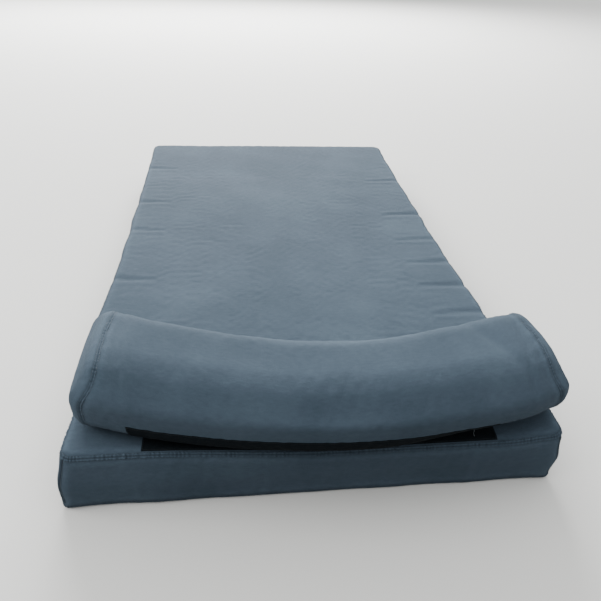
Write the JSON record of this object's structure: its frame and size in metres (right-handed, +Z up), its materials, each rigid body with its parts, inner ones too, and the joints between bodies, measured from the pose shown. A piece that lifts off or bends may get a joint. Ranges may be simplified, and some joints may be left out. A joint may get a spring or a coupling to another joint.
{
  "type": "dog bed",
  "caption": "Rectangular foam dog bed with a zipped box-cushion cover and a detachable bowed bolster held by hook-and-loop strips.",
  "frame": {"origin": "centre of the mattress's underside, on the surface that the bed lies on", "axes": "+X to the right, +Y from the bolster end to the zipped far end, +Z up; the bolster lies at -Y"},
  "size_m": [0.717, 1.2438, 0.2057],
  "materials": {
    "cover_fabric": "matte slate-blue brushed microfibre with a fine weave",
    "base_foam": "open-cell polyurethane foam, cream",
    "comfort_foam": "memory foam, pale blue-grey",
    "bolster_foam": "soft polyurethane foam, cream",
    "hook_tape": "black woven nylon tape with fine hooks",
    "loop_tape": "black nylon tape with a napped loop pile",
    "zip_tape": "twill-woven zip tape, slate",
    "zip_coil": "nylon coil, satin",
    "zip_metal": "gunmetal plated, satin"
  },
  "bodies": {
    "mattress": {"base_foam": "base_foam", "comfort_foam": "comfort_foam", "mattress_top_panel": "cover_fabric", "mattress_base_panel": "cover_fabric", "front_boxing": "cover_fabric", "left_boxing": "cover_fabric", "right_boxing": "cover_fabric", "rear_boxing_upper": "cover_fabric", "rear_boxing_lower": "cover_fabric", "hook_strip": "hook_tape", "mattress_zip_tape_upper": "zip_tape", "mattress_zip_tape_lower": "zip_tape", "mattress_zip_coil_upper": "zip_coil", "mattress_zip_coil_lower": "zip_coil", "mattress_zip_stops": "zip_metal"},
    "mattress_slider": {"mattress_zip_slider": "zip_metal"},
    "mattress_pull": {"mattress_zip_pull": "zip_metal"},
    "bolster": {"bolster_foam": "bolster_foam", "bolster_wrap_panel": "cover_fabric", "bolster_left_cap": "cover_fabric", "bolster_right_cap": "cover_fabric", "loop_strip": "loop_tape", "bolster_zip_tape_upper": "zip_tape", "bolster_zip_tape_lower": "zip_tape", "bolster_zip_coil_upper": "zip_coil", "bolster_zip_coil_lower": "zip_coil", "bolster_zip_stops": "zip_metal"},
    "bolster_slider": {"bolster_zip_slider": "zip_metal"},
    "bolster_pull": {"bolster_zip_pull": "zip_metal"}
  },
  "joints": [
    {"name": "bolster_lift", "type": "slide", "parent": "mattress", "child": "bolster", "axis": [0, 0, 1], "range_m": [0, 0.2]},
    {"name": "mattress_zip", "type": "slide", "parent": "mattress", "child": "mattress_slider", "axis": [-1, 0, 0], "range_m": [0, 0.584]},
    {"name": "mattress_pull_swing", "type": "hinge", "parent": "mattress_slider", "child": "mattress_pull", "pos_m": [0.292, 0.6077, 0.05], "axis": [0, 0, -1], "range_deg": [0, 170]},
    {"name": "bolster_zip", "type": "hinge", "parent": "bolster", "child": "bolster_slider", "pos_m": [0.057, 0.456, 0.1542], "axis": [0, 0, -1], "range_deg": [0, 29]},
    {"name": "bolster_pull_swing", "type": "hinge", "parent": "bolster_slider", "child": "bolster_pull", "pos_m": [0.24396, -0.44204, 0.1542], "axis": [0, 0, -1], "range_deg": [0, 170]}
  ]
}
